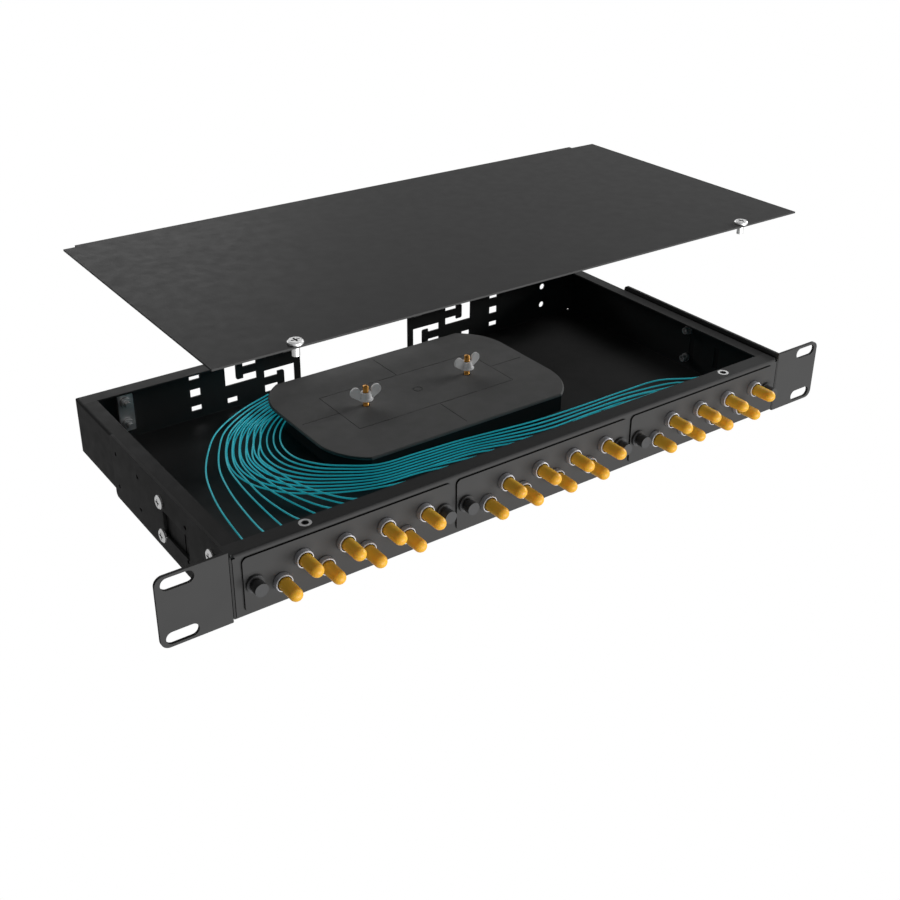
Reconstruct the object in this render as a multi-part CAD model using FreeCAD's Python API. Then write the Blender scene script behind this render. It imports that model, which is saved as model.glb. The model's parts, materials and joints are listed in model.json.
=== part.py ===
import FreeCAD, Part
import math
import os

# Rack mounted fibre optic patch panel: a folded steel box with two rack brackets, three adapter
# plates, a splice tray, pigtails and a lift-off top cover.
# Working axes: X to the right, Y from the front face backwards, Z up from the underside of the floor.
# The finished parts are moved so that the origin is the middle of the four rack slots, on the plane
# of the ears' rear faces.

V = FreeCAD.Vector
X_AXIS = V(1, 0, 0)
Y_AXIS = V(0, 1, 0)
Z_AXIS = V(0, 0, 1)

# Box
box_width = 404.0
box_depth = 211.0
box_height = 38.5
sheet = 1.2
bend_radius = 1.8
corner_radius = 1.4
side_rim = 10.0
front_rim = 11.2
rear_rim = 11.5
seam_gap = 0.4
seam_notch = 2.2
relief_radius = 1.2

# Rack brackets
bracket_sheet = 1.8
bracket_height = 42.0
bracket_drop = 0.6
bracket_length = 150.0
bracket_bend = 0.8
bracket_corner = 3.0
ear_span = 482.6
ear_corner = 5.0
slot_edge = 11.8
slot_pitch = 31.75
slot_length = 17.8
slot_width = 7.2
side_hole_first = 17.0
side_hole_pitch = 31.5
side_hole_columns = 5
side_screw_columns = (0, 2)
side_hole_rise = 21.6
side_hole_radius = 1.3
side_window_start = 46.0
side_window_end = 78.5
side_window_bottom = 10.9
side_window_top = 26.0
side_window_corner = 0.6
side_slot_setback = 4.7
side_slot_width = 4.0

# Screws and their threaded inserts
screw_head_radius = 4.1
screw_head_height = 1.8
screw_head_edge = 0.7
cross_length = 4.6
cross_width = 1.0
cross_depth = 0.9
cover_screw_radius = 2.0
cover_screw_length = 6.5
cover_screw_spacing = 311.0
cover_screw_setback = 6.5
side_screw_radius = 1.5
side_screw_length = 7.0
thread_clearance = 0.05
insert_flange_radius = 3.6
insert_flange = 0.8
insert_body_radius = 2.9
insert_length = 8.0
side_insert_radius = 2.4
side_insert_collar = 3.1
side_insert_collar_length = 2.0
side_insert_length = 6.2

# Top cover, drawn lifted above the box as it is shown
cover_sheet = 1.0
cover_lift = 100.75
cover_side_gap = 0.75
cover_edge_past_screw = 4.0
cover_depth = 192.2
cover_hole_clearance = 0.25
tongue_half_width = 190.2
tongue_end = 207.7
tongue_drop = 3.7
tongue_ramp = 3.6

# Adapter plates on the front face
plate_count = 3
plate_pitch = 131.75
plate_width = 128.0
plate_height = 32.7
plate_sheet = 1.2
plate_corner = 3.0
plate_centre_height = 19.35
front_window_width = 103.0
front_window_height = 24.0
front_window_corner = 2.5

# Adapters, eight to a plate in two staggered rows
adapters_per_plate = 8
adapter_pitch = 12.63
adapter_offset = 1.3
adapter_stagger = 9.5
adapter_barrel_radius = 3.3
adapter_reach = 11.0
adapter_flange_radius = 5.4
adapter_flange = 1.6
adapter_tail = 6.0
adapter_nut_radius = 5.0
adapter_nut_height = 3.5
adapter_nut_chamfer = 0.3
adapter_nut_web = 1.2
adapter_nut_recess_radius = 4.4
ferrule_bore_radius = 1.25
ferrule_bore_depth = 6.0
fit_clearance = 0.05

# Dust caps
cap_radius = 3.75
cap_reach = 18.4
cap_gap = 0.5

# Push pins that hold the plates
pin_spacing = 116.2
grommet_flange_radius = 5.0
grommet_flange = 1.6
grommet_body_radius = 3.0
grommet_tail = 3.0
pin_radius = 1.75
pin_head_radius = 3.8
pin_head_length = 4.2
pin_neck_radius = 2.6
pin_reach = 8.0
pin_tail = 6.0
pin_clearance = 0.05
pin_lead = 0.5

# Pigtail connectors behind the adapters
connector_nut_radius = 4.8
connector_nut_length = 9.0
boot_radius = 2.6
boot_tip_radius = 1.3
boot_length = 12.0
fibre_diameter = 0.9
fibre_grip = 3.0

# Splice tray
tray_centre_y = 131.5
tray_length = 184.6
tray_width = 120.6
tray_straight = 148.0
tray_end_flat = 52.0
tray_top = 19.4
tray_height = 12.2
tray_wall = 1.6
tray_floor = 1.6
tray_end_inset = 2.6
tray_mouth_depth = 44.0
tray_mouth_length = 40.0
tray_lid_sheet = 1.6
tray_lid_bevel = 0.8
groove_width = 0.5
groove_depth = 0.3
groove_frame_length = 121.4
groove_frame_width = 50.4
groove_hub_radius = 3.2

# Tray studs, wing nuts and the splice holder
stud_spacing = 81.0
stud_radius = 2.0
stud_tip_bevel = 0.5
stud_top = 33.4
stud_collar_radius = 5.0
stud_clearance = 0.05
stud_hole_clearance = 0.7
wing_nut_rise = 4.4
wing_flange_radius = 4.9
wing_flange_height = 1.1
wing_hub_radius = 4.0
wing_hub_top_radius = 3.3
wing_hub_height = 5.0
wing_span = 21.6
wing_sheet = 1.5
wing_blade_radius = 3.5
wing_blade_rise = 5.9
wing_root = 2.6
wing_root_rise = 0.5
wing_left_turn = -8.0
wing_right_turn = 5.0
holder_length = 52.0
holder_depth = 30.0
holder_base = 1.2
holder_rib = 1.2
holder_rib_height = 4.2
holder_ribs = 9
holder_clearance = 0.3

# Coil of spare pigtail inside the tray
coil_length = 132.0
coil_width = 92.0
coil_turn_radius = 38.0
coil_band = 9.0
coil_height = 6.0

# Rear wall
clamp_x = -171.5
clamp_width = 10.0
clamp_height = 25.6
clamp_sheet = 2.0
clamp_centre_height = 20.0
clamp_hole_rise = 15.0
clamp_hole_radius = 2.4
clamp_screw_radius = 2.0
clamp_screw_reach = 5.7
clamp_nut_radius = 3.6
clamp_nut_height = 2.4
tie_slot_x = 123.3
tie_slot_width = 7.4
tie_slot_rows = ((8.3, 3.7), (19.6, 5.6), (31.0, 3.6))
hook_width = 23.3
hook_height = 16.4
hook_back = 8.2
hook_neck_height = 5.6
hook_head_height = 10.8
hook_head_width = 5.1
hook_corner = 1.4
hook_outer_edge = 101.7
hook_outer_bottom = 17.9
hook_inner_edge = 49.45
hook_inner_bottom = 5.2
lower_slot = (93.5, 101.0, 4.9, 8.8)
upper_slot = (50.0, 57.5, 31.0, 34.3)
rear_window_width = 89.7
rear_window_bottom = 5.2
rear_window_top = 34.3
rear_window_corner = 2.5

# Derived places
half_width = box_width / 2
ear_rear = bracket_sheet
bracket_bottom = -bracket_drop
bracket_top = bracket_bottom + bracket_height
slot_row = bracket_bottom + bracket_height / 2
slot_spacing = ear_span - 2 * slot_edge
side_hole_row = box_height / 2 + 0.75
plate_front = -plate_sheet
cover_bottom = box_height + cover_lift
cover_top = cover_bottom + cover_sheet
cover_front = cover_screw_setback - cover_edge_past_screw
tray_bottom = tray_top - tray_height
tray_lid_bottom = tray_top - tray_lid_sheet
inner_rear = box_depth - sheet
boot_end = adapter_tail + connector_nut_length + boot_length


def box(x0, x1, y0, y1, z0, z1):
    """Box between two corners."""
    return Part.makeBox(x1 - x0, y1 - y0, z1 - z0, V(x0, y0, z0))


def rounded_outline(x0, x1, z0, z1, radii, place):
    """Closed outline of a rectangle, its corners rounded by radii (low-low, high-low, high-high, low-high)."""
    corners = [(x0, z0), (x1, z0), (x1, z1), (x0, z1)]
    ways = [(1, 0), (0, 1), (-1, 0), (0, -1)]
    edges = []
    for i, (corner, radius) in enumerate(zip(corners, radii)):
        came, goes = ways[i - 1], ways[i]
        start = (corner[0] - came[0] * radius, corner[1] - came[1] * radius)
        end = (corner[0] + goes[0] * radius, corner[1] + goes[1] * radius)
        if radius > 0:
            slack = radius * (1 - math.sqrt(0.5))
            middle = (corner[0] + (goes[0] - came[0]) * slack, corner[1] + (goes[1] - came[1]) * slack)
            edges.append(Part.Arc(place(*start), place(*middle), place(*end)).toShape())
        following = corners[(i + 1) % 4]
        next_radius = radii[(i + 1) % 4]
        stop = (following[0] - goes[0] * next_radius, following[1] - goes[1] * next_radius)
        edges.append(Part.makeLine(place(*end), place(*stop)))
    return Part.Wire(edges)


def prism(outline, way):
    """Solid swept straight from a closed outline."""
    return Part.Face(outline).extrude(way)


def slab_y(x0, x1, z0, z1, y0, y1, radii):
    """Rounded plate that faces front and back."""
    outline = rounded_outline(x0, x1, z0, z1, radii, lambda a, b: V(a, y0, b))
    return prism(outline, V(0, y1 - y0, 0))


def slab_x(y0, y1, z0, z1, x0, x1, radii):
    """Rounded plate that faces left and right."""
    outline = rounded_outline(y0, y1, z0, z1, radii, lambda a, b: V(x0, a, b))
    return prism(outline, V(x1 - x0, 0, 0))


def slab_z(x0, x1, y0, y1, z0, z1, radii):
    """Rounded plate that faces up and down."""
    outline = rounded_outline(x0, x1, y0, y1, radii, lambda a, b: V(a, b, z0))
    return prism(outline, V(0, 0, z1 - z0))


def rod(radius, start, end):
    """Round bar between two points."""
    way = end.sub(start)
    return Part.makeCylinder(radius, way.Length, start, way)


def turned(profile, base, axis):
    """Turned piece: profile is a closed list of (distance along axis, radius)."""
    side = X_AXIS if abs(axis.dot(X_AXIS)) < 0.5 else Z_AXIS
    points = [base.add(V(axis).multiply(a)).add(V(side).multiply(r)) for a, r in profile]
    face = Part.Face(Part.makePolygon(points + [points[0]]))
    return face.revolve(base, axis, 360)


def mirrored(shape):
    """Copy on the other side of the box."""
    return shape.mirror(V(0, 0, 0), X_AXIS)


def cut_all(shape, tools):
    """Shape without the tools."""
    return shape.cut(Part.makeCompound(tools))


def folded_shell():
    """Box of folded sheet, with its bends rounded and its top still closed."""

    def block(inset, radius, corner):
        across = slab_y(-half_width + inset, half_width - inset, inset, box_height - inset,
                        inset, box_depth - inset, (radius,) * 4)
        along = slab_x(inset, box_depth - inset, inset, box_height - inset,
                       -half_width, half_width, (radius,) * 4)
        plan = slab_z(-half_width + inset, half_width - inset, inset, box_depth - inset,
                      0, box_height, (0, 0, corner, corner))
        return across.common(along).common(plan)

    outside = block(0, bend_radius, corner_radius)
    inside = block(sheet, bend_radius - sheet, corner_radius)
    return outside.cut(inside)


def hook_slot(edge, bottom, sign):
    """Slot round a T-shaped tongue that cable ties hook on; edge is the closed side, sign its way inwards."""
    far = edge + sign * hook_width
    back = edge + sign * hook_back
    head = back + sign * hook_head_width
    middle = bottom + hook_height / 2
    depth = (box_depth - 2 * sheet, box_depth + sheet)
    outer = box(min(edge, far), max(edge, far), *depth, bottom, bottom + hook_height)
    rounded = (hook_corner, 0, 0, hook_corner) if sign > 0 else (0, hook_corner, hook_corner, 0)
    head_block = slab_y(min(back, head), max(back, head), middle - hook_head_height / 2,
                        middle + hook_head_height / 2, *depth, rounded)
    neck = box(min(back, far), max(back, far), *depth,
               middle - hook_neck_height / 2, middle + hook_neck_height / 2)
    return outer.cut(head_block.fuse(neck))


def rear_cuts():
    """Openings in the rear wall."""
    depth = (box_depth - 2 * sheet, box_depth + sheet)
    half_slot = tie_slot_width / 2
    one_side = [box(tie_slot_x - half_slot, tie_slot_x + half_slot, *depth, z - h / 2, z + h / 2)
                for z, h in tie_slot_rows]
    one_side.append(hook_slot(hook_outer_edge, hook_outer_bottom, -1))
    one_side.append(hook_slot(hook_inner_edge, hook_inner_bottom, 1))
    for x0, x1, z0, z1 in (lower_slot, upper_slot):
        one_side.append(box(x0, x1, *depth, z0, z1))
    for rise in (-clamp_hole_rise / 2, clamp_hole_rise / 2):
        z = clamp_centre_height + rise
        one_side.append(rod(clamp_hole_radius, V(-clamp_x, depth[0], z), V(-clamp_x, depth[1], z)))
    relief_x = half_width - sheet - relief_radius
    one_side.append(rod(relief_radius, V(relief_x, depth[0], sheet), V(relief_x, depth[1], sheet)))
    window = slab_y(-rear_window_width / 2, rear_window_width / 2, rear_window_bottom,
                    rear_window_top, *depth, (0, 0, rear_window_corner, rear_window_corner))
    return one_side + [mirrored(s) for s in one_side] + [window]


def plate_centres():
    """X of each adapter plate's middle."""
    return [(n - (plate_count - 1) / 2) * plate_pitch for n in range(plate_count)]


def pin_places():
    """X of every push pin, from left to right."""
    return [x + side * pin_spacing / 2 for x in plate_centres() for side in (-1, 1)]


def adapter_places(centre):
    """X and Z of the adapters of one plate."""
    places = []
    for n in range(adapters_per_plate):
        x = centre + adapter_offset + (n - (adapters_per_plate - 1) / 2) * adapter_pitch
        rise = adapter_stagger / 2 if n % 2 else -adapter_stagger / 2
        places.append((x, plate_centre_height + rise))
    return places


def all_adapter_places():
    """X and Z of every adapter, from left to right."""
    return [place for centre in plate_centres() for place in adapter_places(centre)]


def front_cuts():
    """Openings in the front wall behind the plates, and the holes for the push pins."""
    depth = (-sheet, 2 * sheet)
    half_w = front_window_width / 2
    half_h = front_window_height / 2
    cuts = [slab_y(x - half_w, x + half_w, plate_centre_height - half_h, plate_centre_height + half_h,
                   *depth, (front_window_corner,) * 4) for x in plate_centres()]
    hole = grommet_body_radius + fit_clearance
    cuts += [rod(hole, V(x, depth[0], plate_centre_height), V(x, depth[1], plate_centre_height))
             for x in pin_places()]
    return cuts


def seam_cuts():
    """Gaps between the front wall and the side walls' edges, with the notch at the top of each."""
    inner = half_width - sheet
    gap = box(inner - seam_gap, inner, -sheet, 2 * sheet, bend_radius, box_height - bend_radius)
    notch_points = [V(inner - seam_notch, -sheet, box_height - bend_radius),
                    V(inner + seam_gap, -sheet, box_height - bend_radius),
                    V(inner - seam_gap, -sheet, box_height + sheet)]
    notch = prism(Part.makePolygon(notch_points + [notch_points[0]]), V(0, sheet + bend_radius, 0))
    return [gap, notch, mirrored(gap), mirrored(notch)]


def rack_slot(x, z):
    """Cutter for one rack slot, round at both ends."""
    half = slot_width / 2
    reach = slot_length / 2 - half
    cutter = box(x - reach, x + reach, -sheet, ear_rear + sheet, z - half, z + half)
    ends = [rod(half, V(x + way * reach, -sheet, z), V(x + way * reach, ear_rear + sheet, z)) for way in (-1, 1)]
    return cutter.fuse(ends).removeSplitter()


def side_window(x0, x1):
    """Cutter for the window in a bracket's flange."""
    return slab_x(side_window_start, side_window_end, side_window_bottom, side_window_top, x0, x1,
                  (side_window_corner,) * 4)


def side_screw_rows():
    """Y of the screws in a bracket's flange."""
    return [side_hole_first + column * side_hole_pitch for column in side_screw_columns]


def cover_screw_places():
    """X of the two cover screws."""
    return (-cover_screw_spacing / 2, cover_screw_spacing / 2)


def stud_places():
    """X of the two tray studs."""
    return (-stud_spacing / 2, stud_spacing / 2)


def side_hole_places(columns):
    """Y and Z of the side holes in these columns."""
    return [(side_hole_first + column * side_hole_pitch, side_hole_row + rise)
            for column in columns for rise in (-side_hole_rise / 2, side_hole_rise / 2)]


def front_region():
    """Space that the front wall and its rim take out of the shell."""
    half = half_width - sheet - seam_gap
    upper = box(-half, half, -sheet, front_rim, sheet, box_height + sheet)
    foot = box(-half, half, -sheet, sheet, -sheet, 2 * sheet)
    return upper.fuse(foot)


def rear_region():
    """Space that the rear wall and its rim take out of the shell."""
    half = half_width - sheet
    upper = box(-half, half, box_depth - rear_rim, box_depth + sheet, sheet, box_height + sheet)
    foot_half = half - bend_radius
    foot = box(-foot_half, foot_half, inner_rear, box_depth + sheet, -sheet, 2 * sheet)
    return upper.fuse(foot)


def open_shell():
    """Folded shell with its top cut open inside the rims."""
    opening = box(-half_width + side_rim, half_width - side_rim, front_rim, box_depth - rear_rim,
                  box_height - 2 * sheet, box_height + sheet)
    return folded_shell().cut(opening)


def chassis_base():
    """Floor and side walls with their rims: one sheet, folded up on both sides."""
    shell = open_shell().cut(Part.makeCompound([front_region(), rear_region()]))
    cuts = seam_cuts()
    for y, z in side_hole_places(side_screw_columns):
        hole = rod(side_insert_radius + fit_clearance, V(half_width - 2 * sheet, y, z), V(half_width + sheet, y, z))
        cuts += [hole, mirrored(hole)]
    for y in (side_window_start + side_slot_setback, side_window_end - side_slot_width):
        slot = box(half_width - 2 * sheet, half_width + sheet, y, y + side_slot_width,
                   side_window_bottom, side_window_top)
        cuts += [slot, mirrored(slot)]
    for x in stud_places():
        cuts.append(rod(stud_radius + fit_clearance, V(x, tray_centre_y, -sheet), V(x, tray_centre_y, 2 * sheet)))
    return cut_all(shell, cuts)


def chassis_front():
    """Front wall with its rim, the windows behind the plates and the seats of the cover's inserts."""
    wall = open_shell().common(front_region())
    cuts = front_cuts() + seam_cuts()
    for x in cover_screw_places():
        top = V(x, cover_screw_setback, box_height + sheet)
        cuts.append(rod(insert_body_radius + fit_clearance, V(x, cover_screw_setback, box_height - 2 * sheet), top))
        cuts.append(rod(insert_flange_radius + fit_clearance,
                        V(x, cover_screw_setback, box_height - insert_flange), top))
    return cut_all(wall, cuts)


def chassis_rear():
    """Rear wall with its rim, the cable window and the slots for cable ties."""
    return cut_all(open_shell().common(rear_region()), rear_cuts())


def top_cover():
    """Flat sheet with a stepped tongue at the rear that goes under the rear rim."""
    half = half_width - cover_side_gap
    rear = cover_front + cover_depth
    plate = box(-half, half, cover_front, rear, cover_bottom, cover_top)
    low = cover_top - tongue_drop
    ramp_end = rear + tongue_ramp
    outline = [V(0, rear - tongue_ramp, cover_top), V(0, rear, cover_top), V(0, ramp_end, low),
               V(0, tongue_end, low), V(0, tongue_end, low - cover_sheet),
               V(0, ramp_end - cover_sheet / 2, low - cover_sheet), V(0, rear - cover_sheet / 2, cover_bottom),
               V(0, rear - tongue_ramp, cover_bottom)]
    tongue = prism(Part.makePolygon(outline + [outline[0]]), V(2 * tongue_half_width, 0, 0))
    tongue.translate(V(-tongue_half_width, 0, 0))
    cover = plate.fuse(tongue).removeSplitter()
    holes = [rod(cover_screw_radius + cover_hole_clearance, V(x, cover_screw_setback, cover_bottom - sheet),
                 V(x, cover_screw_setback, cover_top + sheet))
             for x in cover_screw_places()]
    return cut_all(cover, holes)


def screw(seat, way, radius, length):
    """Pan head screw with a cross recess; seat is under the head, way points out of the head."""
    head = screw_head_height
    flat = screw_head_radius - screw_head_edge
    body = turned([(-length, 0), (-length, radius), (0, radius), (0, screw_head_radius),
                   (head - screw_head_edge, screw_head_radius), (head, flat), (head, 0)], seat, way)
    across = cross_length / 2
    arms = []
    for a, b in ((across, cross_width / 2), (cross_width / 2, across)):
        arms.append(Part.makeBox(2 * a, 2 * b, 2 * cross_depth, V(-a, -b, head - cross_depth)))
    recess = arms[0].fuse(arms[1])
    recess.Placement = FreeCAD.Placement(seat, FreeCAD.Rotation(Z_AXIS, way))
    return body.cut(recess)


def cover_screw(x):
    """Screw that holds the cover's front edge."""
    return screw(V(x, cover_screw_setback, cover_top), Z_AXIS, cover_screw_radius, cover_screw_length)


def cover_inserts():
    """Threaded inserts in the front rim that take the cover screws."""
    bore = cover_screw_radius + thread_clearance
    inserts = []
    for x in cover_screw_places():
        profile = [(0, bore), (0, insert_flange_radius), (insert_flange, insert_flange_radius),
                   (insert_flange, insert_body_radius), (insert_length, insert_body_radius), (insert_length, bore)]
        inserts.append(turned(profile, V(x, cover_screw_setback, box_height), V(0, 0, -1)))
    return Part.makeCompound(inserts)


def rack_bracket():
    """Left bracket: an ear with two rack slots, folded back along the box's side."""
    outside = half_width + bracket_sheet
    ear_end = ear_span / 2
    slack = bracket_bend * (1 - math.sqrt(0.5))
    corner = [V(-half_width - bracket_bend, 0, bracket_bottom), V(-half_width - slack, slack, bracket_bottom),
              V(-half_width, bracket_bend, bracket_bottom)]
    rest = [corner[2], V(-half_width, bracket_length, bracket_bottom), V(-outside, bracket_length, bracket_bottom),
            V(-outside, ear_rear, bracket_bottom), V(-ear_end, ear_rear, bracket_bottom),
            V(-ear_end, 0, bracket_bottom), corner[0]]
    edges = [Part.Arc(*corner).toShape()] + [Part.makeLine(a, b) for a, b in zip(rest, rest[1:])]
    angle = prism(Part.Wire(edges), V(0, 0, bracket_height))
    ear_side = slab_y(-ear_end, -half_width, bracket_bottom, bracket_top, -sheet, bracket_length + sheet,
                      (ear_corner, 0, 0, ear_corner))
    flange_side = slab_x(-sheet, bracket_length, bracket_bottom, bracket_top, -ear_end, ear_end,
                         (0, bracket_corner, bracket_corner, 0))
    bracket = angle.common(ear_side).common(flange_side)
    cuts = [side_window(-outside - sheet, -half_width + sheet / 2)]
    for rise in (-slot_pitch / 2, slot_pitch / 2):
        cuts.append(rack_slot(-slot_spacing / 2, slot_row + rise))
    for y, z in side_hole_places(range(side_hole_columns)):
        radius = side_screw_radius + thread_clearance if y in side_screw_rows() else side_hole_radius
        cuts.append(rod(radius, V(-outside - sheet, y, z), V(-half_width + sheet / 2, y, z)))
    return cut_all(bracket, cuts)


def bracket_screws():
    """Screws through the brackets into the box's sides."""
    seat = half_width + bracket_sheet
    pieces = []
    for y, z in side_hole_places(side_screw_columns):
        pieces.append(screw(V(seat, y, z), X_AXIS, side_screw_radius, side_screw_length))
        pieces.append(screw(V(-seat, y, z), V(-1, 0, 0), side_screw_radius, side_screw_length))
    return Part.makeCompound(pieces)


def bracket_inserts():
    """Blind threaded inserts set in the box's sides."""
    bore = side_screw_radius + thread_clearance
    collar_start = sheet
    profile = [(0, bore), (0, side_insert_radius), (collar_start, side_insert_radius),
               (collar_start, side_insert_collar), (collar_start + side_insert_collar_length, side_insert_collar),
               (collar_start + side_insert_collar_length, side_insert_radius),
               (side_insert_length, side_insert_radius), (side_insert_length, bore)]
    pieces = []
    for y, z in side_hole_places(side_screw_columns):
        pieces.append(turned(profile, V(half_width, y, z), V(-1, 0, 0)))
        pieces.append(turned(profile, V(-half_width, y, z), X_AXIS))
    return Part.makeCompound(pieces)


def adapter_plate(centre):
    """Flat plate that carries eight adapters."""
    half_w = plate_width / 2
    half_h = plate_height / 2
    plate = slab_y(centre - half_w, centre + half_w, plate_centre_height - half_h, plate_centre_height + half_h,
                   plate_front, 0, (plate_corner,) * 4)
    cuts = [rod(adapter_barrel_radius + fit_clearance, V(x, plate_front - 1, z), V(x, 1, z))
            for x, z in adapter_places(centre)]
    for side in (-1, 1):
        x = centre + side * pin_spacing / 2
        cuts.append(rod(grommet_body_radius + fit_clearance, V(x, plate_front - 1, plate_centre_height),
                        V(x, 1, plate_centre_height)))
    return cut_all(plate, cuts)


def adapters():
    """Adapter bodies: front barrel, flange behind the plate, rear barrel."""
    front = plate_front - adapter_reach
    pieces = []
    for x, z in all_adapter_places():
        profile = [(front + ferrule_bore_depth, 0), (front + ferrule_bore_depth, ferrule_bore_radius),
                   (front, ferrule_bore_radius), (front, adapter_barrel_radius), (0, adapter_barrel_radius),
                   (0, adapter_flange_radius), (adapter_flange, adapter_flange_radius),
                   (adapter_flange, adapter_barrel_radius), (adapter_tail, adapter_barrel_radius), (adapter_tail, 0)]
        pieces.append(turned(profile, V(x, 0, z), Y_AXIS))
    return Part.makeCompound(pieces)


def adapter_nuts():
    """Round nuts that clamp the adapters to their plates, each with a recess that the dust cap sits in."""
    bore = adapter_barrel_radius + fit_clearance
    top = adapter_nut_height
    edge = top - adapter_nut_chamfer
    profile = [(0, bore), (0, adapter_nut_radius), (edge, adapter_nut_radius),
               (top, adapter_nut_radius - adapter_nut_chamfer), (top, adapter_nut_recess_radius),
               (adapter_nut_web, adapter_nut_recess_radius), (adapter_nut_web, bore)]
    return Part.makeCompound([turned(profile, V(x, plate_front, z), V(0, -1, 0)) for x, z in all_adapter_places()])


def dust_cap(x, z):
    """Soft cap over an adapter's barrel, closed by a round end."""
    bore = adapter_barrel_radius + fit_clearance
    start = adapter_nut_web + cap_gap
    depth = adapter_reach + cap_gap
    dome = cap_reach - cap_radius
    slope = math.sqrt(0.5)

    def at(along, radius):
        return V(x + radius, plate_front - along, z)

    points = [at(depth, 0), at(depth, bore), at(start, bore), at(start, cap_radius), at(dome, cap_radius)]
    edges = [Part.makeLine(a, b) for a, b in zip(points, points[1:])]
    tip = at(cap_reach, 0)
    edges.append(Part.Arc(points[-1], at(dome + cap_radius * slope, cap_radius * slope), tip).toShape())
    edges.append(Part.makeLine(tip, points[0]))
    return Part.Face(Part.Wire(edges)).revolve(V(x, 0, z), Y_AXIS, 360)


def pin_grommets():
    """Flanged bushes that the push pins spread behind the front wall."""
    bore = pin_radius + pin_clearance
    through = plate_sheet + sheet + grommet_tail
    profile = [(-grommet_flange, bore), (-grommet_flange, grommet_flange_radius), (0, grommet_flange_radius),
               (0, grommet_body_radius), (through, grommet_body_radius), (through, bore)]
    return Part.makeCompound([turned(profile, V(x, plate_front, plate_centre_height), Y_AXIS) for x in pin_places()])


def push_pin(x):
    """Push pin: a round head to pull, a neck, and a pin through its grommet."""
    head_end = -pin_reach
    head_start = head_end + pin_head_length
    neck_end = -grommet_flange
    tail = plate_sheet + sheet + grommet_tail
    profile = [(head_end, 0), (head_end, pin_head_radius), (head_start, pin_head_radius),
               (head_start, pin_neck_radius), (neck_end, pin_neck_radius), (neck_end, pin_radius),
               (tail, pin_radius), (tail + pin_lead, pin_radius - pin_lead), (tail + pin_lead, 0)]
    return turned(profile, V(x, plate_front, plate_centre_height), Y_AXIS)


def pigtail_connectors():
    """Connectors on the adapters' rear barrels, each with a tapered boot."""
    start = adapter_tail
    nut = start + connector_nut_length
    fibre = fibre_diameter / 2
    profile = [(start, 0), (start, connector_nut_radius), (nut, connector_nut_radius), (nut, boot_radius),
               (boot_end, boot_tip_radius), (boot_end, fibre), (boot_end - fibre_grip, fibre),
               (boot_end - fibre_grip, 0)]
    return Part.makeCompound([turned(profile, V(x, 0, z), Y_AXIS) for x, z in all_adapter_places()])


def tray_outline(inset_end, inset_side, z):
    """Tray's plan: straight front and rear edges, rounded shoulders and short flat ends."""
    half_l = tray_length / 2 - inset_end
    half_w = tray_width / 2 - inset_side
    straight = tray_straight / 2
    flat = tray_end_flat / 2
    drop = half_l - straight
    rise = half_w - flat
    radius = (drop * drop + rise * rise) / (2 * drop)
    turn = math.atan2(rise, radius - drop) / 2
    along = half_l - radius + radius * math.cos(turn)
    across = flat + radius * math.sin(turn)

    def at(x, y):
        return V(x, tray_centre_y + y, z)

    edges = []
    for side in (1, -1):
        edges.append(Part.makeLine(at(-side * straight, -side * half_w), at(side * straight, -side * half_w)))
        edges.append(Part.Arc(at(side * straight, -side * half_w), at(side * along, -side * across),
                              at(side * half_l, -side * flat)).toShape())
        edges.append(Part.makeLine(at(side * half_l, -side * flat), at(side * half_l, side * flat)))
        edges.append(Part.Arc(at(side * half_l, side * flat), at(side * along, side * across),
                              at(side * straight, side * half_w)).toShape())
    return Part.Wire(edges)


def splice_tray():
    """Moulded tray: floor and wall, open at the rear shoulders where the pigtails come in."""
    height = tray_lid_bottom - tray_bottom
    outside = prism(tray_outline(tray_end_inset, 0, tray_bottom), V(0, 0, height))
    inside = prism(tray_outline(tray_end_inset + tray_wall, tray_wall, tray_bottom + tray_floor), V(0, 0, height))
    mouth_front = tray_centre_y + tray_width / 2 - tray_mouth_depth
    half_l = tray_length / 2
    mouth = box(half_l - tray_mouth_length, half_l + 1, mouth_front, box_depth,
                tray_bottom + tray_floor, tray_top)
    holes = [rod(stud_radius + stud_clearance, V(x, tray_centre_y, 0), V(x, tray_centre_y, tray_top))
             for x in stud_places()]
    return cut_all(outside, [inside, mouth, mirrored(mouth)] + holes)


def lid_grooves():
    """Fine lines moulded in the tray lid: a frame, a cross outside it and a small ring."""
    z0 = tray_top - groove_depth
    half_l = groove_frame_length / 2
    half_w = groove_frame_width / 2
    half_g = groove_width / 2
    edge_x = tray_length / 2 - 2 * tray_end_inset
    edge_y = tray_width / 2 - 2 * tray_end_inset

    def line(x0, x1, y0, y1):
        return box(x0 - half_g, x1 + half_g, tray_centre_y + y0 - half_g, tray_centre_y + y1 + half_g, z0, tray_top + 1)

    lines = []
    for side in (-1, 1):
        lines.append(line(-half_l, half_l, side * half_w, side * half_w))
        lines.append(line(side * half_l, side * half_l, -half_w, half_w))
        lines.append(line(min(side * half_l, side * edge_x), max(side * half_l, side * edge_x), 0, 0))
        lines.append(line(0, 0, min(side * half_w, side * edge_y), max(side * half_w, side * edge_y)))
    hub = V(0, tray_centre_y, z0)
    ring = Part.makeCylinder(groove_hub_radius, 1, hub).cut(Part.makeCylinder(groove_hub_radius - groove_width, 1, hub))
    merged = lines[0].fuse(lines[1:])
    return [merged, ring]


def tray_lid():
    """Flat lid of the tray, with a bevelled edge and holes for the studs."""
    plate = prism(tray_outline(0, 0, tray_lid_bottom), V(0, 0, tray_lid_sheet))
    top = [e for e in plate.Edges if all(abs(v.Z - tray_top) < 1e-6 for v in e.Vertexes)]
    plate = plate.makeChamfer(tray_lid_bevel, top)
    holes = [rod(stud_radius + stud_hole_clearance, V(x, tray_centre_y, 0), V(x, tray_centre_y, box_height))
             for x in stud_places()]
    return cut_all(plate, holes + lid_grooves())


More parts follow.
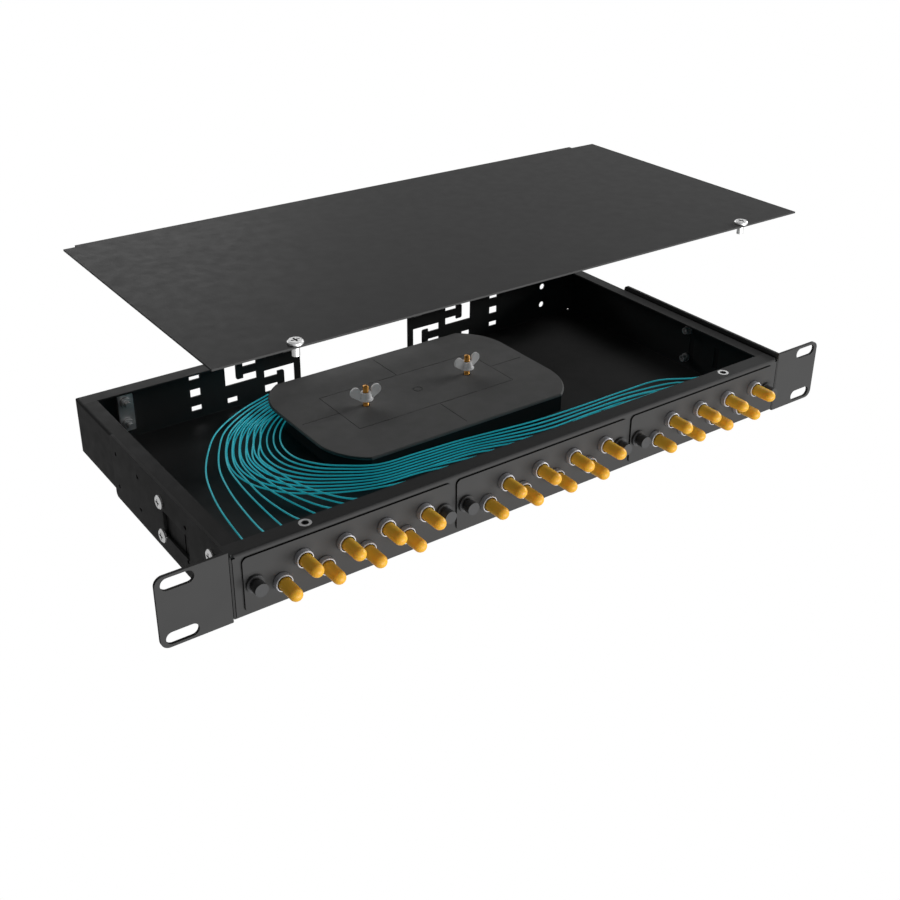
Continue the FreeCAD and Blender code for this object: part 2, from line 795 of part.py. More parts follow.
def tangent_point(start, centre, radius, side):
    """Point where a line from start touches the circle, both in the plane that faces front."""
    across = V(centre.x - start.x, 0, centre.z - start.z)
    far = across.Length
    toward = math.atan2(-across.z, -across.x)
    turn = math.acos(radius / far) * side
    return V(centre.x + radius * math.cos(toward - turn), centre.y, centre.z + radius * math.sin(toward - turn))


def tray_studs():
    """Threaded studs through the floor, with collars that stand the tray above it."""
    profile = [(0, 0), (0, stud_radius), (sheet, stud_radius), (sheet, stud_collar_radius),
               (tray_bottom, stud_collar_radius), (tray_bottom, stud_radius),
               (stud_top - stud_tip_bevel, stud_radius), (stud_top, stud_radius - stud_tip_bevel), (stud_top, 0)]
    return Part.makeCompound([turned(profile, V(x, tray_centre_y, 0), Z_AXIS) for x in stud_places()])


def wing_nut(x, turn):
    """Wing nut part way down its stud: flanged hub and two raised wings with round lobes."""
    seat = tray_top + wing_nut_rise
    base = V(x, tray_centre_y, seat)
    bore = stud_radius + stud_clearance
    profile = [(0, bore), (0, wing_flange_radius), (wing_flange_height / 2, wing_flange_radius),
               (wing_flange_height, wing_hub_radius), (wing_hub_height, wing_hub_top_radius), (wing_hub_height, bore)]
    hub = turned(profile, base, Z_AXIS)
    half = wing_sheet / 2
    front = tray_centre_y - half
    low = seat + wing_root_rise
    high = seat + wing_hub_height - wing_root_rise
    lobe_x = wing_span / 2 - wing_blade_radius
    lobe_z = seat + wing_blade_rise
    lobe = Part.makeCylinder(wing_blade_radius, wing_sheet, V(x + lobe_x, front, lobe_z), Y_AXIS)
    foot_x = (wing_hub_radius + lobe_x) / 2
    under = [V(x + wing_root, front, low), V(x + foot_x, front, low + wing_root_rise / 2)]
    slope = tangent_point(under[1], V(x + lobe_x, front, lobe_z), wing_blade_radius, -1)
    brow = V(x + wing_hub_radius, front, high)
    crest = tangent_point(brow, V(x + lobe_x, front, lobe_z), wing_blade_radius, 1)
    outline = under + [slope, V(x + lobe_x, front, lobe_z), crest, brow, V(x + wing_root, front, high)]
    web = prism(Part.makePolygon(outline + [outline[0]]), V(0, wing_sheet, 0))
    wing = lobe.fuse(web)
    other = wing.copy()
    other.rotate(base, Z_AXIS, 180)
    nut = hub.fuse([wing, other]).removeSplitter()
    nut = nut.cut(rod(bore, V(x, tray_centre_y, seat - 1), V(x, tray_centre_y, seat + 2 * wing_hub_height)))
    nut.rotate(base, Z_AXIS, turn)
    return nut


def splice_holder():
    """Comb of ribs between the studs that grips the splice sleeves."""
    floor = tray_bottom + tray_floor
    half_l = holder_length / 2
    half_d = holder_depth / 2
    base = box(-half_l, half_l, tray_centre_y - half_d, tray_centre_y + half_d, floor, floor + holder_base)
    pitch = (holder_depth - holder_rib) / (holder_ribs - 1)
    ribs = []
    for n in range(holder_ribs):
        y = tray_centre_y - half_d + n * pitch
        ribs.append(box(-half_l, half_l, y, y + holder_rib, floor + holder_base, floor + holder_base + holder_rib_height))
    return base.fuse(ribs).removeSplitter()


def coil_outline(inset, z):
    """Racetrack outline of the coil inside the tray."""
    half_l = coil_length / 2 - inset
    half_w = coil_width / 2 - inset
    radius = coil_turn_radius - inset
    return rounded_outline(-half_l, half_l, tray_centre_y - half_w, tray_centre_y + half_w, (radius,) * 4,
                           lambda a, b: V(a, b, z))


def pigtail_coil():
    """Spare length of the pigtails, coiled on the tray's floor."""
    floor = tray_bottom + tray_floor
    outer = prism(coil_outline(0, floor), V(0, 0, coil_height))
    inner = prism(coil_outline(coil_band, floor), V(0, 0, coil_height))
    return outer.cut(inner)


def cable_clamp():
    """Plate on the rear wall for the incoming cable's strength member."""
    y0 = inner_rear - clamp_sheet
    plate = slab_y(clamp_x - clamp_width / 2, clamp_x + clamp_width / 2, clamp_centre_height - clamp_height / 2,
                   clamp_centre_height + clamp_height / 2, y0, inner_rear, (0.8,) * 4)
    return cut_all(plate, [rod(clamp_screw_radius + fit_clearance, V(clamp_x, y0 - 1, z), V(clamp_x, inner_rear + 1, z))
                           for z in clamp_rows()])


def clamp_rows():
    """Heights of the two clamp screws."""
    return [clamp_centre_height + rise for rise in (-clamp_hole_rise / 2, clamp_hole_rise / 2)]


def clamp_screws():
    """Screws from behind the rear wall, each with a nut on the clamp plate."""
    face = inner_rear - clamp_sheet
    pieces = []
    for z in clamp_rows():
        length = box_depth - face + clamp_screw_reach
        body = screw(V(clamp_x, box_depth, z), Y_AXIS, clamp_screw_radius, length)
        nut = Part.makeCylinder(clamp_nut_radius, clamp_nut_height, V(clamp_x, face, z), V(0, -1, 0))
        pieces.append(body.fuse(nut).removeSplitter())
    return Part.makeCompound(pieces)


# Routes of the pigtails, station by station. Those of the first plate go straight into the turn round
# the tray's left end, above the others, each between the first and the last lane here.
first_lane = [V(-173.5, 55, 13.5), V(-171, 80, 13.5), V(-167, 101, 13.5), V(-160.5, 122.5, 13.5),
              V(-148.5, 143, 14), V(-132, 163.5, 14.5), V(-105.5, 180, 15), V(-79, 191, 15)]
last_lane = [V(-102, 51.5, 13.5), V(-118, 76, 13.5), V(-123.5, 101, 13.5), V(-124.5, 122.5, 13.5),
             V(-115, 139, 14), V(-103, 155.5, 14.5), V(-84.5, 164.5, 15), V(-62, 172.5, 15)]
lane_shares = (0.0, 0.2, 0.37, 0.5, 0.63, 0.75, 0.88, 1.0)

# Those of the other plates run left in front of the tray and turn below, between the outer and the
# inner lane.
outer_lane = [V(-8, 49.5, 9), V(-48, 52, 9), V(-81, 55.5, 9), V(-106, 66, 9), V(-128, 82, 9), V(-140, 103, 9),
              V(-140.5, 127, 9), V(-130, 151, 10), V(-111, 170.5, 10.8), V(-90, 184.5, 10.8), V(-70, 190.5, 10.8)]
inner_lane = [V(-13, 66.5, 14), V(-45, 67, 15), V(-72, 68.5, 15.5), V(-89, 79, 15.5), V(-99, 89, 15), V(-106.5, 105, 14),
              V(-106, 123, 13), V(-98.5, 141, 11.7), V(-87, 155, 11.5), V(-73, 164, 11.5), V(-60, 168.5, 11.5)]


def tube(points, radius):
    """Round tube along straight runs joined by tangent arcs, and the arcs' radii and centre line length."""
    edges = []
    radii = []
    start = points[0]
    for before, corner, after in zip(points, points[1:], points[2:]):
        came = corner.sub(before)
        goes = after.sub(corner)
        shorter = min(came.Length, goes.Length)
        trim = 0.45 * shorter
        turn = came.getAngle(goes)
        arc_radius = trim / math.tan(turn / 2)
        radii.append(arc_radius)
        came.normalize()
        goes.normalize()
        enter = corner.sub(V(came).multiply(trim))
        leave = corner.add(V(goes).multiply(trim))
        inward = V(goes).sub(came)
        inward.normalize()
        centre_away = arc_radius / math.cos(turn / 2)
        middle = corner.add(V(inward).multiply(centre_away - arc_radius))
        edges.append(Part.LineSegment(start, enter).toShape())
        edges.append(Part.Arc(enter, middle, leave).toShape())
        start = leave
    edges.append(Part.LineSegment(start, points[-1]).toShape())
    path = Part.Wire(edges)
    first = points[1].sub(points[0])
    ring = Part.Wire([Part.makeCircle(radius, points[0], first)])
    return path.makePipeShell([ring], True, False), radii, path.Length


def between(first, last, share):
    """Lane at this share of the way from the first to the last."""
    return [a.add(V(b.sub(a)).multiply(share)) for a, b in zip(first, last)]


def first_plate_route(index, x, z):
    """Route of one pigtail of the first plate, from its boot into the tray."""
    lane = between(first_lane, last_lane, lane_shares[index])
    return [V(x, boot_end - fibre_grip, z), V(x, boot_end + 4, z)] + lane


def other_plate_route(index, x, z):
    """Route of one pigtail of the other plates: out of its boot, left in front of the tray, and round."""
    lane = between(outer_lane, inner_lane, index / ((plate_count - 1) * adapters_per_plate - 1))
    begin = lane[0]
    points = [V(x, boot_end - fibre_grip, z), V(x, boot_end + 3, z)]
    if x < begin.x + 24:
        return points + [p for p in lane if p.x < x - 14]
    join = V(x - 17, begin.y - 0.3 * (begin.y - boot_end), (z + begin.z) / 2)
    points.append(join)
    runs = max(1, round((join.x - begin.x) / 42))
    for n in range(1, runs):
        left = 1 - n / runs
        points.append(V(begin.x + (join.x - begin.x) * left, begin.y + (join.y - begin.y) * left ** 3,
                        begin.z + (join.z - begin.z) * left ** 3))
    return points + lane


def pigtail_fibres(plate):
    """Pigtails of one plate as separate tubes."""
    centre = plate_centres()[plate]
    pieces = []
    radius = fibre_diameter / 2
    for n, (x, z) in enumerate(adapter_places(centre)):
        if plate == 0:
            route = first_plate_route(n, x, z)
        else:
            route = other_plate_route((plate - 1) * adapters_per_plate + n, x, z)
        solid, radii, length = tube(route, radius)
        expected = math.pi * radius * radius * length
        print("fibre", plate * adapters_per_plate + n + 1, "length %.0f" % length, "least radius %.1f" % min(radii),
              "volume ratio %.4f" % (solid.Volume / expected))
        pieces.append(solid)
    return Part.makeCompound(pieces)


def nodes():
    """Every piece by its name."""
    pieces = {
        "chassis_base": chassis_base(),
        "chassis_front": chassis_front(),
        "chassis_rear": chassis_rear(),
        "top_cover": top_cover(),
        "cover_screw_left": cover_screw(cover_screw_places()[0]),
        "cover_screw_right": cover_screw(cover_screw_places()[1]),
        "cover_inserts": cover_inserts(),
        "rack_bracket_left": rack_bracket(),
        "rack_bracket_right": mirrored(rack_bracket()),
        "bracket_screws": bracket_screws(),
        "bracket_inserts": bracket_inserts(),
        "adapters": adapters(),
        "adapter_nuts": adapter_nuts(),
        "pin_grommets": pin_grommets(),
        "pigtail_connectors": pigtail_connectors(),
        "splice_tray": splice_tray(),
        "tray_lid": tray_lid(),
        "tray_studs": tray_studs(),
        "wing_nut_left": wing_nut(stud_places()[0], wing_left_turn),
        "wing_nut_right": wing_nut(stud_places()[1], wing_right_turn),
        "splice_holder": splice_holder(),
        "pigtail_coil": pigtail_coil(),
        "cable_clamp": cable_clamp(),
        "clamp_screws": clamp_screws(),
    }
    for n, x in enumerate(pin_places()):
        pieces["push_pin_%d" % (n + 1)] = push_pin(x)
    cap = 0
    for plate, centre in enumerate(plate_centres()):
        pieces["adapter_plate_%d" % (plate + 1)] = adapter_plate(centre)
        pieces["pigtail_fibres_%d" % (plate + 1)] = pigtail_fibres(plate)
        for x, z in adapter_places(centre):
            cap += 1
            pieces["dust_cap_%02d" % cap] = dust_cap(x, z)
    return pieces


os.makedirs("parts", exist_ok=True)
origin = V(0, ear_rear, slot_row)
for name, shape in nodes().items():
    placed = shape.copy()
    placed.translate(origin.negative())
    placed.exportStep("parts/%s.step" % name)
    print(name, len(placed.Solids), placed.isValid(), "%.1f" % placed.Volume)
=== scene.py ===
import bpy
import json
import math
from mathutils import Matrix, Vector


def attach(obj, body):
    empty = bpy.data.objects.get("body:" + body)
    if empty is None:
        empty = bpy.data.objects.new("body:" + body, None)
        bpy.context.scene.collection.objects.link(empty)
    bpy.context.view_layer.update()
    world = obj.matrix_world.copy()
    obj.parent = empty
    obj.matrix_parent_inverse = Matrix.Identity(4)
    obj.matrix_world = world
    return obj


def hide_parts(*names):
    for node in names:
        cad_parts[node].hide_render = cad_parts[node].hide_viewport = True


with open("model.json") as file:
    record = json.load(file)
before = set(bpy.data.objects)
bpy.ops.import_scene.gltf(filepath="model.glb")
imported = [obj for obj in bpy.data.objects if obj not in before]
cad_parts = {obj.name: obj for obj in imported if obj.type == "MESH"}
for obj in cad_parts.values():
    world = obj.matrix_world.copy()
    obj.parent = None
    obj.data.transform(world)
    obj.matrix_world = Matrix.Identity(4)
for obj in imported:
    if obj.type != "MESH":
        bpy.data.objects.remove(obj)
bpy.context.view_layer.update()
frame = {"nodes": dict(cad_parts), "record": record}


scene = bpy.context.scene


# Materials


class Tree:
    """Short way to build a node tree."""

    def __init__(self, name):
        self.material = bpy.data.materials.new(name)
        self.material.use_nodes = True
        self.nodes = self.material.node_tree.nodes
        self.links = self.material.node_tree.links
        self.shader = self.nodes["Principled BSDF"]
        self.place = self.nodes.new("ShaderNodeTexCoord").outputs["Object"]

    def link(self, a, b):
        self.links.new(a, b)

    def noise(self, scale, detail, rough=0.5):
        texture = self.nodes.new("ShaderNodeTexNoise")
        texture.inputs["Scale"].default_value = scale
        texture.inputs["Detail"].default_value = detail
        texture.inputs["Roughness"].default_value = rough
        self.link(self.place, texture.inputs["Vector"])
        return texture.outputs["Fac"]

    def mottled(self, value, colour, low, high):
        """Colour that goes from its low share to its high share with the value."""
        ramp = self.nodes.new("ShaderNodeValToRGB")
        for element, at, share in zip(ramp.color_ramp.elements, (0.3, 0.7), (low, high)):
            element.position = at
            element.color = (*(part * share for part in colour), 1)
        self.link(value, ramp.inputs["Fac"])
        return ramp.outputs["Color"]

    def spread(self, value, low, high, at_low=0.3, at_high=0.7):
        """Number that goes from low to high while the value goes from at_low to at_high."""
        span = self.nodes.new("ShaderNodeMapRange")
        span.inputs["From Min"].default_value = at_low
        span.inputs["From Max"].default_value = at_high
        span.inputs["To Min"].default_value = low
        span.inputs["To Max"].default_value = high
        self.link(value, span.inputs["Value"])
        return span.outputs["Result"]

    def bump(self, value, strength, distance):
        bump = self.nodes.new("ShaderNodeBump")
        bump.inputs["Strength"].default_value = strength
        bump.inputs["Distance"].default_value = distance
        self.link(value, bump.inputs["Height"])
        self.link(bump.outputs["Normal"], self.shader.inputs["Normal"])

    def times(self, colour, factor):
        """Colour darkened by a factor."""
        mix = self.nodes.new("ShaderNodeVectorMath")
        mix.operation = "SCALE"
        self.link(colour, mix.inputs[0])
        self.link(factor, mix.inputs["Scale"])
        return mix.outputs["Vector"]

    def crevice(self, distance):
        """Ambient occlusion: near 0 in narrow seams and 1 in the open; it paints shade into seams and keeps
        painted glow out of them.
        """
        occlusion = self.nodes.new("ShaderNodeAmbientOcclusion")
        occlusion.inputs["Distance"].default_value = distance
        return occlusion.outputs["AO"]

    def facing_front(self):
        """1 on faces that look forward or back, 0 on the edges of a plate."""
        geometry = self.nodes.new("ShaderNodeNewGeometry")
        parts = self.nodes.new("ShaderNodeSeparateXYZ")
        self.link(geometry.outputs["True Normal"], parts.inputs["Vector"])
        size = self.nodes.new("ShaderNodeMath")
        size.operation = "ABSOLUTE"
        self.link(parts.outputs["Y"], size.inputs[0])
        return size.outputs["Value"]

    def colour(self, socket):
        self.link(socket, self.shader.inputs["Base Color"])

    def rough(self, socket):
        self.link(socket, self.shader.inputs["Roughness"])

    def set(self, **values):
        for name, value in values.items():
            self.shader.inputs[name.replace("_", " ")].default_value = value


def grey(value):
    return (value, value, value)


def paint(name, colour, painted_edge_shade=False):
    """Fine powder coat: slight mottling in tone and gloss, a very fine grain, and painted shade in seams;
    on request also painted shade on the edges of a plate.
    """
    t = Tree(name)
    tone = t.mottled(t.noise(scale=60, detail=4), colour, low=0.98, high=1.02)
    # Painted shade: the colour darkens in seams and narrow gaps, where shade falls
    tone = t.times(tone, t.spread(t.crevice(distance=0.0022), low=0.25, high=1.0))
    if painted_edge_shade:
        # Painted shade: the edge faces of a plate turn near black, as the dark shadow lines along the
        # plates
        tone = t.times(tone, t.spread(t.facing_front(), low=0.08, high=1.0, at_low=0.6, at_high=0.8))
    t.colour(tone)
    t.rough(t.spread(t.noise(scale=140, detail=3), low=0.45, high=0.55))
    t.bump(t.noise(scale=2400, detail=2), strength=0.12, distance=0.00012)
    t.set(Specular_IOR_Level=0.04)
    return t.material


def metal(name, colour, roughness, metallic=1.0, painted_shade_reach=0.0015):
    """Plated or turned metal, less metallic where the plating is dull, with painted shade that darkens it
    in narrow recesses.
    """
    t = Tree(name)
    tone = t.mottled(t.noise(scale=300, detail=3), colour, low=0.9, high=1.04)
    t.colour(t.times(tone, t.spread(t.crevice(painted_shade_reach), low=0.1, high=1.0, at_low=0.35, at_high=0.75)))
    t.rough(t.spread(t.noise(scale=500, detail=3, rough=0.6), low=roughness - 0.06, high=roughness + 0.08))
    t.bump(t.noise(scale=1500, detail=2), strength=0.05, distance=0.00005)
    t.set(Metallic=metallic)
    return t.material


def plastic(name, colour, roughness, specular=0.4, depth=0.0, painted_glow=0.0):
    """Moulded plastic: near even tone with a fine grain; depth lets light into it, and a glow adds painted
    light, an emission of its own colour kept out of narrow seams.
    """
    t = Tree(name)
    tone = t.mottled(t.noise(scale=90, detail=3), colour, low=0.94, high=1.05)
    t.colour(tone)
    # Painted light: the plastic glows in its own colour, though it is no lamp
    if painted_glow:
        open_share = t.spread(t.crevice(distance=0.0025), low=0.0, high=1.0, at_low=0.4, at_high=0.95)
        t.link(t.times(tone, open_share), t.shader.inputs["Emission Color"])
        t.set(Emission_Strength=painted_glow)
    t.rough(t.spread(t.noise(scale=260, detail=3), low=roughness - 0.05, high=roughness + 0.05))
    t.bump(t.noise(scale=1800, detail=2), strength=0.06, distance=0.0001)
    t.set(Specular_IOR_Level=specular)
    if depth:
        t.set(Subsurface_Weight=depth, Subsurface_Radius=(1.0, 0.45, 0.1), Subsurface_Scale=0.004)
    return t.material


materials = {
    "box_paint": paint("box paint", grey(0.085)),
    "cover_paint": paint("cover paint", grey(0.096)),
    # The plates' paint carries painted shade on their edges
    "plate_paint": paint("plate paint", grey(0.083), painted_edge_shade=True),
    "nickel": metal("nickel", (0.62, 0.62, 0.65), 0.5, metallic=0.6),
    "zinc": metal("zinc", grey(0.90), 0.36, metallic=0.6),
    # The caps glow a little: painted light
    "cap_rubber": plastic("cap rubber", (0.97, 0.50, 0.045), 0.42, depth=0.35, painted_glow=0.12),
    "pin_plastic": plastic("pin plastic", (0.048, 0.049, 0.051), 0.5),
    # The fibre jackets glow: painted light
    "fibre_jacket": plastic("fibre jacket", (0.04, 0.72, 0.84), 0.4, specular=0.35, painted_glow=0.17),
    "connector_plastic": plastic("connector plastic", (0.03, 0.25, 0.30), 0.45),
    "tray_plastic": plastic("tray plastic", (0.165, 0.165, 0.163), 0.55, specular=0.12),
    "brass": metal("brass", (0.55, 0.27, 0.06), 0.35),
}

# Finishes of single nodes that differ from the rest of their slot, among them painted shade and painted
# glow

# Wing nuts: near white, with painted glow that brightens the plating
wing_nut_plating_painted_glow = plastic("wing nut plating", grey(0.92), 0.35, specular=0.5, painted_glow=0.1)
node_materials = {
    # Painted shade: the box's inside gets a darker copy of the box paint
    "chassis_base": paint("box paint darkened for painted shade", grey(0.062)),
    "wing_nut_left": wing_nut_plating_painted_glow,
    "wing_nut_right": wing_nut_plating_painted_glow,
    # Painted shade: occlusion of wider reach darkens the holes of the inserts
    "cover_inserts": metal("insert plating", grey(0.95), 0.4, metallic=0.3, painted_shade_reach=0.005),
    "bracket_screws": metal("screw plating", grey(0.95), 0.28, metallic=0.9),
    "bracket_inserts": metal("rivet plating", grey(0.55), 0.5, metallic=0.3),
    "tray_lid": plastic("lid plastic", (0.205, 0.205, 0.203), 0.55, specular=0.06),
    "splice_tray": plastic("tray side plastic", grey(0.03), 0.55, specular=0.12),
}

slots = {s["node"]: s["material_slot"] for s in frame["record"]["subparts"]}
for name, node in frame["nodes"].items():
    node.data.materials.clear()
    node.data.materials.append(node_materials.get(name, materials[slots[name]]))

# Pieces that the solids leave to this script, in mm in the box's own axes:
# X to the right, Y backwards from the front face, Z up from the underside of the floor.
# The frame's origin lies at origin_y and origin_z, and the photo's camera at eye_in_box.

origin_y = 1.8
origin_z = 20.4
eye_in_box = Vector((-406.35, -466.91, 383.03))


def mm(x, y, z):
    """Point of the frame in metres from a point of the box in millimetres."""
    return Vector((x, y - origin_y, z - origin_z)) / 1000


def add_mesh(name, vertices, faces, material, smooth=True):
    mesh = bpy.data.meshes.new(name)
    mesh.from_pydata([tuple(v) for v in vertices], [], faces)
    mesh.validate()
    for polygon in mesh.polygons:
        polygon.use_smooth = smooth
    mesh.materials.append(material)
    piece = bpy.data.objects.new(name, mesh)
    scene.collection.objects.link(piece)
    return piece


def skin(start, rings, sides):
    """Faces of a closed body whose vertices lie ring by ring from the start."""
    faces = []
    for ring in range(rings - 1):
        for k in range(sides):
            a = start + ring * sides + k
            b = start + ring * sides + (k + 1) % sides
            faces.append((a, b, b + sides, a + sides))
    last = start + (rings - 1) * sides
    faces.append(tuple(reversed(range(start, start + sides))))
    faces.append(tuple(range(last, last + sides)))
    return faces


# Studs of the splice tray, with a real thread

stud_x = 40.5
stud_y = 131.5
stud_radius = 2.0
stud_chamfer = 0.5
floor_sheet = 1.2
collar_radius = 5.0
collar_top = 7.2
thread_start = 8.8
thread_end = 32.9
thread_pitch = 1.1
thread_depth = 0.4
rings_per_turn = 6
stud_sides = 28


def stud_rings():
    """Height, radius and depth of thread of the stud's rings, from the bottom up."""
    rings = [(0, stud_radius, 0), (floor_sheet, stud_radius, 0), (floor_sheet, collar_radius, 0),
             (collar_top, collar_radius, 0), (collar_top, stud_radius, 0), (thread_start, stud_radius, 0)]
    length = thread_end - thread_start
    steps = round(length / (thread_pitch / rings_per_turn))
    for step in range(1, steps):
        rings.append((thread_start + length * step / steps, stud_radius, thread_depth))
    rings.append((thread_end, stud_radius, 0))
    rings.append((thread_end + stud_chamfer, stud_radius - stud_chamfer, 0))
    return rings


def add_stud(name, x):
    vertices = []
    rings = stud_rings()
    for z, radius, depth in rings:
        for k in range(stud_sides):
            groove = 1 - abs(2 * ((z / thread_pitch - k / stud_sides) % 1) - 1)
            reach = radius - depth * groove
            angle = 2 * math.pi * k / stud_sides
            vertices.append(mm(x + reach * math.cos(angle), stud_y + reach * math.sin(angle), z))
    return add_mesh(name, vertices, skin(0, len(rings), stud_sides), materials["brass"])


for side, x in (("left", -stud_x), ("right", stud_x)):
    stud = add_stud("stud_" + side, x)
    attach(stud, "frame")
    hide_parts("tray_studs")

# Thin near-black blanks in the two slots of each side wall, which let no light through in the photo: dark
# sheets that paint shade into the slots

wall_middle = 201.4
blank_half_thickness = 0.2
blank_depths = ((50.7, 54.7), (74.5, 78.5))
blank_heights = (10.9, 26.0)
brick_faces = ((0, 2, 3, 1), (4, 5, 7, 6), (0, 1, 5, 4), (2, 6, 7, 3), (0, 4, 6, 2), (1, 3, 7, 5))


def add_shade_blanks(name, x):
    across = (-blank_half_thickness, blank_half_thickness)
    vertices, faces = [], []
    for depths in blank_depths:
        start = len(vertices)
        vertices += [mm(x + dx, y, z) for z in blank_heights for y in depths for dx in across]
        faces += [tuple(start + n for n in face) for face in brick_faces]
    # Near black: painted shade in the slots
    return add_mesh(name, vertices, faces, node_materials["splice_tray"], smooth=False)


for side, x in (("left", -wall_middle), ("right", wall_middle)):
    blank = add_shade_blanks("slot_shade_blanks_" + side, x)
    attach(blank, "frame")

# Pigtails: smooth curves through points traced in the photo, as thick as the photo shows them

per_plate = 8
plate_pitch = 131.75
adapter_pitch = 12.63
adapter_offset = 1.3
adapter_rows = (14.6, 24.1)
boot_end = 27
reach_into_boot = 3
straight_behind_boot = 2
fibre_radius = 0.52
fibre_sides = 10
curve_steps = 6

# First plate: height, then x and y of its eight pigtails, from behind the boots to below the lid
first_plate_stations = [
    (13.5, (-172.9, -160.2, -149.5, -139.3, -129.7, -120.6, -112.0, -102.3),
     (51.0, 51.0, 51.0, 51.0, 51.0, 51.0, 48.9, 46.8)),
    (14.3, (-170.7, -159.4, -149.9, -144.1, -136.6, -131.4, -124.7, -118.5),
     (75.6, 75.6, 75.6, 75.6, 75.6, 75.6, 73.5, 71.3)),
    (14.3, (-166.5, -156.4, -148.6, -143.5, -138.5, -133.6, -128.7, -123.8),
     (97.0, 97.0, 97.0, 97.0, 97.0, 97.0, 97.0, 97.0)),
    (14.3, (-159.9, -151.1, -145.4, -141.2, -136.7, -132.6, -128.7, -124.7),
     (118.4, 118.4, 118.4, 118.4, 118.4, 118.4, 118.4, 118.4)),
    (14.6, (-148.8, -141.3, -136.7, -132.3, -128.0, -123.9, -119.7, -115.5),
     (139.3, 139.3, 139.3, 139.3, 138.3, 137.2, 136.1, 135.0)),
    (14.8, (-132.9, -127.3, -123.4, -119.3, -115.5, -111.7, -108.0, -104.2),
     (160.4, 159.3, 158.2, 157.2, 156.1, 155.0, 154.0, 152.9)),
    (15.0, (-107.8, -104.1, -100.9, -97.7, -94.8, -92.0, -89.2, -86.5),
     (177.7, 175.5, 173.4, 171.2, 169.1, 167.0, 164.8, 162.7)),
    (15.0, (-81.1, -78.6, -76.2, -73.9, -71.5, -69.2, -66.8, -64.5),
     (188.9, 186.3, 183.7, 181.2, 178.6, 176.1, 173.5, 170.9)),
]

# Its upper row starts lower than the adapters, so that the strands pass below the front rim
upper_row_x = {1: -162.1, 3: -140.4, 5: -120.6, 7: -104.2}
upper_row_y = 42.8
upper_row_z = 16
rim_pass_share = 0.35
rim_pass_y = 35.0
rim_pass_z = 18.5

# Second and third plate: nine lines side by side, most with two pigtails, one above the other.
# The lanes are the outermost and innermost line, and every other line lies a share between them.
# Lines from first_front_line on come from the third plate and first run along the front.
bundle_lines = (0, 0, 1, 1, 2, 2, 3, 3, 4, 4, 5, 5, 6, 6, 7, 8)
first_front_line = 4
last_line = 8
layer = 1.3
dives = {1: (5, 42, 12), 2: (4, 44, 14.5)}
joining_run = 20
front_run = [(150, 40, 12), (121, 44, 12), (85, 46, 12), (42, 45.5, 12)]
rear_run = [(150, 56.8, 14), (121, 58.5, 14), (85, 58.4, 14), (42, 59.7, 14)]
outer_lane = [(-8, 49.5, 9), (-48, 52, 9), (-81, 55.5, 9), (-106, 66, 9), (-128, 82, 9), (-140, 103, 9),
              (-140.5, 127, 9), (-130, 151, 10), (-111, 170.5, 10.8), (-90, 184.5, 10.8),
              (-70, 190.5, 10.8)]
inner_lane = [(-13, 66.5, 14), (-45, 67, 15), (-72, 68.5, 15.5), (-89, 79, 15.5), (-99, 89, 15),
              (-106.5, 105, 14), (-106, 123, 13), (-98.5, 141, 11.7), (-87, 155, 11.5),
              (-73, 164, 11.5), (-60, 168.5, 11.5)]


def adapter_place(number):
    """X and height of an adapter's middle; the rows take turns along a plate."""
    plate, n = divmod(number, per_plate)
    along = (n - (per_plate - 1) / 2) * adapter_pitch
    return (plate - 1) * plate_pitch + adapter_offset + along, adapter_rows[n % 2]


def boot_exit(x, z):
    return [Vector((x, boot_end - reach_into_boot, z)), Vector((x, boot_end + straight_behind_boot, z))]


def first_plate_route(number):
    x, z = adapter_place(number)
    stations = [Vector((xs[number], ys[number], height)) for height, xs, ys in first_plate_stations]
    if number in upper_row_x:
        stations[0] = Vector((upper_row_x[number], upper_row_y, upper_row_z))
        stations.insert(0, Vector((x + rim_pass_share * (stations[0].x - x), rim_pass_y, rim_pass_z)))
    return boot_exit(x, z) + stations


def under(point):
    """Point one layer lower in the bundle, a little further back so that the upper strand covers it."""
    away = (point - eye_in_box) / (eye_in_box.z - point.z)
    return point + away * layer


def between(outer, inner, share):
    return [Vector(a).lerp(Vector(b), share) for a, b in zip(outer, inner)]


def other_plate_route(number):
    x, z = adapter_place(number)
    line = bundle_lines[number - per_plate]
    stations = []
    if line >= first_front_line:
        stations += between(front_run, rear_run, (line - first_front_line) / (last_line - first_front_line))
    stations += between(outer_lane, inner_lane, line / last_line)
    if number % 2 == 0 and bundle_lines.count(line) == 2:
        stations = [under(p) for p in stations]
    dive_run, dive_y, dive_z = dives[number // per_plate]
    dive = Vector((x - dive_run, dive_y, dive_z))
    return boot_exit(x, z) + [dive] + [p for p in stations if p.x < x - joining_run]


def smooth_line(points):
    """Catmull-Rom curve through the points."""
    ends = [points[0] * 2 - points[1]] + points + [points[-1] * 2 - points[-2]]
    line = []
    for p0, p1, p2, p3 in zip(ends, ends[1:], ends[2:], ends[3:]):
        knots = [0.0]
        for a, b in ((p0, p1), (p1, p2), (p2, p3)):
            knots.append(knots[-1] + math.sqrt((b - a).length))
        t0, t1, t2, t3 = knots
        for step in range(curve_steps):
            t = t1 + (t2 - t1) * step / curve_steps
            a1 = p0 * ((t1 - t) / (t1 - t0)) + p1 * ((t - t0) / (t1 - t0))
            a2 = p1 * ((t2 - t) / (t2 - t1)) + p2 * ((t - t1) / (t2 - t1))
            a3 = p2 * ((t3 - t) / (t3 - t2)) + p3 * ((t - t2) / (t3 - t2))
            b1 = a1 * ((t2 - t) / (t2 - t0)) + a2 * ((t - t0) / (t2 - t0))
            b2 = a2 * ((t3 - t) / (t3 - t1)) + a3 * ((t - t1) / (t3 - t1))
            line.append(b1 * ((t2 - t) / (t2 - t1)) + b2 * ((t - t1) / (t2 - t1)))
    return line + [points[-1]]


